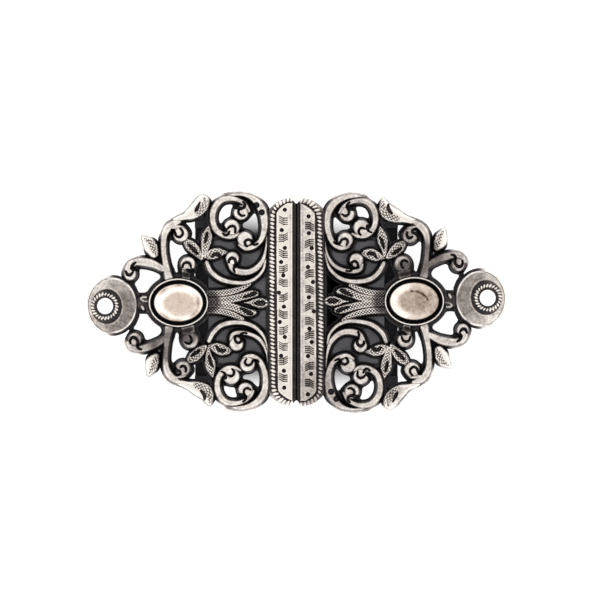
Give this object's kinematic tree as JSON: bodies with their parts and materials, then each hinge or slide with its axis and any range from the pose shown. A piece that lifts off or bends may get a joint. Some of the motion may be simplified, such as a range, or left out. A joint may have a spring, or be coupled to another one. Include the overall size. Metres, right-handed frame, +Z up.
{
  "type": "apron clasp",
  "caption": "Two-part ornamental clasp of pierced cast scrollwork with oval cabochons, roped centre bars, sewing eyelets, a hook and keeper plate and belt bars.",
  "frame": {"origin": "on the surface that the clasp lies on, under the middle of its outline, at the seam", "axes": "+X along the clasp towards the keeper half, +Z up out of the ornamented face"},
  "size_m": [0.0676, 0.0356, 0.0069],
  "materials": {
    "antique_silver": "antique silver plate on cast zinc, dark in the recesses",
    "cabochon": "polished silvered cabochon, slightly worn",
    "dark_plate": "darkened steel sheet",
    "dark_bar": "blackened steel"
  },
  "bodies": {
    "root": {"left_casting": "antique_silver", "left_cabochon": "cabochon", "hook_plate": "dark_plate", "left_belt_bar": "dark_bar", "right_casting": "antique_silver", "right_cabochon": "cabochon", "keeper_plate": "dark_plate", "right_belt_bar": "dark_bar"}
  },
  "joints": []
}
